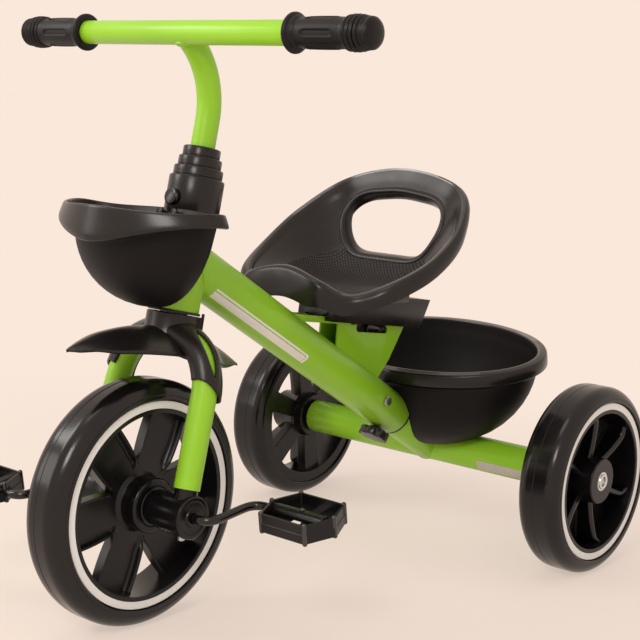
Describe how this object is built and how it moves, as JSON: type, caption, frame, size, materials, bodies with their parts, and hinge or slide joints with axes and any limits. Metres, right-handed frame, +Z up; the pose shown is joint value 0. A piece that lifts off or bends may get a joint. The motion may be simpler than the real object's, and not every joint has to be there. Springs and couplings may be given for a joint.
{
  "type": "children's tricycle",
  "caption": "Child's pedal tricycle with a steel frame, front-wheel cranks, bucket seat, high handlebar, and storage bowls in front and behind.",
  "frame": {"origin": "on the ground, midway across and midway between the front of the front tyre and the back of the rear tyres", "axes": "+Z up, the tricycle faces -Y, +X is the rider's left"},
  "size_m": [0.499, 0.738, 0.607],
  "materials": {
    "green_paint": "glossy lime-green enamel",
    "black_plastic": "satin moulded black",
    "seat_plastic": "satin black, textured pan",
    "bowl_plastic": "fine-grained black",
    "rim_plastic": "satin moulded black",
    "tyre_foam": "smooth foam with a skin",
    "grip_rubber": "soft moulded rubber",
    "white_plastic": "plain white",
    "white_film": "printed film",
    "grey_film": "plain grey film",
    "black_paint": "gloss black",
    "bright_steel": "bright zinc",
    "zinc_steel": "zinc plated"
  },
  "bodies": {
    "frame": {"main_tube": "green_paint", "head_tube": "green_paint", "seat_bracket_left": "green_paint", "seat_bracket_right": "green_paint", "stub_tube": "green_paint", "axle_beam": "green_paint", "tube_end_ring": "black_plastic", "tube_stripes": "white_film", "beam_label": "grey_film", "beam_bush_left": "black_plastic", "beam_bush_right": "black_plastic", "rear_axle": "zinc_steel", "axle_caps": "bright_steel", "cross_bolt": "zinc_steel", "cross_nut": "zinc_steel", "head_bush_lower": "black_plastic", "head_bush_upper": "black_plastic", "rear_bowl": "bowl_plastic", "rear_bowl_screws": "black_plastic"},
    "knob": {"clamp_knob": "black_plastic"},
    "seat": {"seat_shell": "seat_plastic", "seat_foot": "black_plastic", "seat_peg": "black_plastic", "seat_screws": "zinc_steel"},
    "steering": {"fork_crown": "green_paint", "steerer_tube": "zinc_steel", "fork_leg_left": "green_paint", "fork_leg_right": "green_paint", "crown_cover": "black_plastic", "sleeve": "black_plastic", "sleeve_bolt": "black_paint", "stem": "green_paint", "handlebar": "green_paint", "grip_left": "grip_rubber", "grip_right": "grip_rubber", "front_bowl": "bowl_plastic", "front_bowl_screws": "zinc_steel", "housing_left": "black_plastic", "housing_right": "black_plastic", "housing_screws": "zinc_steel"},
    "front_wheel": {"front_tyre": "tyre_foam", "front_rim": "rim_plastic", "front_rings": "white_plastic", "crank_rod": "black_paint"},
    "left_pedal": {"pedal_left": "black_plastic", "pedal_cap_left": "black_paint"},
    "right_pedal": {"pedal_right": "black_plastic", "pedal_cap_right": "black_paint"},
    "rear_wheel_left": {"rear_tyre_left": "tyre_foam", "rear_rim_left": "rim_plastic", "rear_ring_left": "white_plastic"},
    "rear_wheel_right": {"rear_tyre_right": "tyre_foam", "rear_rim_right": "rim_plastic", "rear_ring_right": "white_plastic"}
  },
  "joints": [
    {"name": "steer", "type": "hinge", "parent": "frame", "child": "steering", "pos_m": [0, -0.237, 0.125], "axis": [0, 0.1908, 0.9816], "range_deg": [-40, 40]},
    {"name": "front_wheel_spin", "type": "hinge", "parent": "steering", "child": "front_wheel", "pos_m": [0, -0.244, 0.125], "axis": [1, 0, 0], "continuous": true},
    {"name": "left_pedal_spin", "type": "hinge", "parent": "front_wheel", "child": "left_pedal", "pos_m": [0.166, -0.18048, 0.1328], "axis": [1, 0, 0], "continuous": true},
    {"name": "right_pedal_spin", "type": "hinge", "parent": "front_wheel", "child": "right_pedal", "pos_m": [-0.166, -0.30752, 0.1172], "axis": [1, 0, 0], "continuous": true},
    {"name": "rear_left_spin", "type": "hinge", "parent": "frame", "child": "rear_wheel_left", "pos_m": [0.223, 0.259, 0.11], "axis": [1, 0, 0], "continuous": true},
    {"name": "rear_right_spin", "type": "hinge", "parent": "frame", "child": "rear_wheel_right", "pos_m": [-0.223, 0.259, 0.11], "axis": [1, 0, 0], "continuous": true},
    {"name": "seat_slide", "type": "slide", "parent": "frame", "child": "seat", "axis": [0, 0.9925, -0.1219], "range_m": [-0.0175, 0.0175]},
    {"name": "knob_turn", "type": "hinge", "parent": "frame", "child": "knob", "pos_m": [0, 0.1576, 0.16737], "axis": [0, -0.4924, -0.8704], "range_deg": [0, 540]}
  ]
}
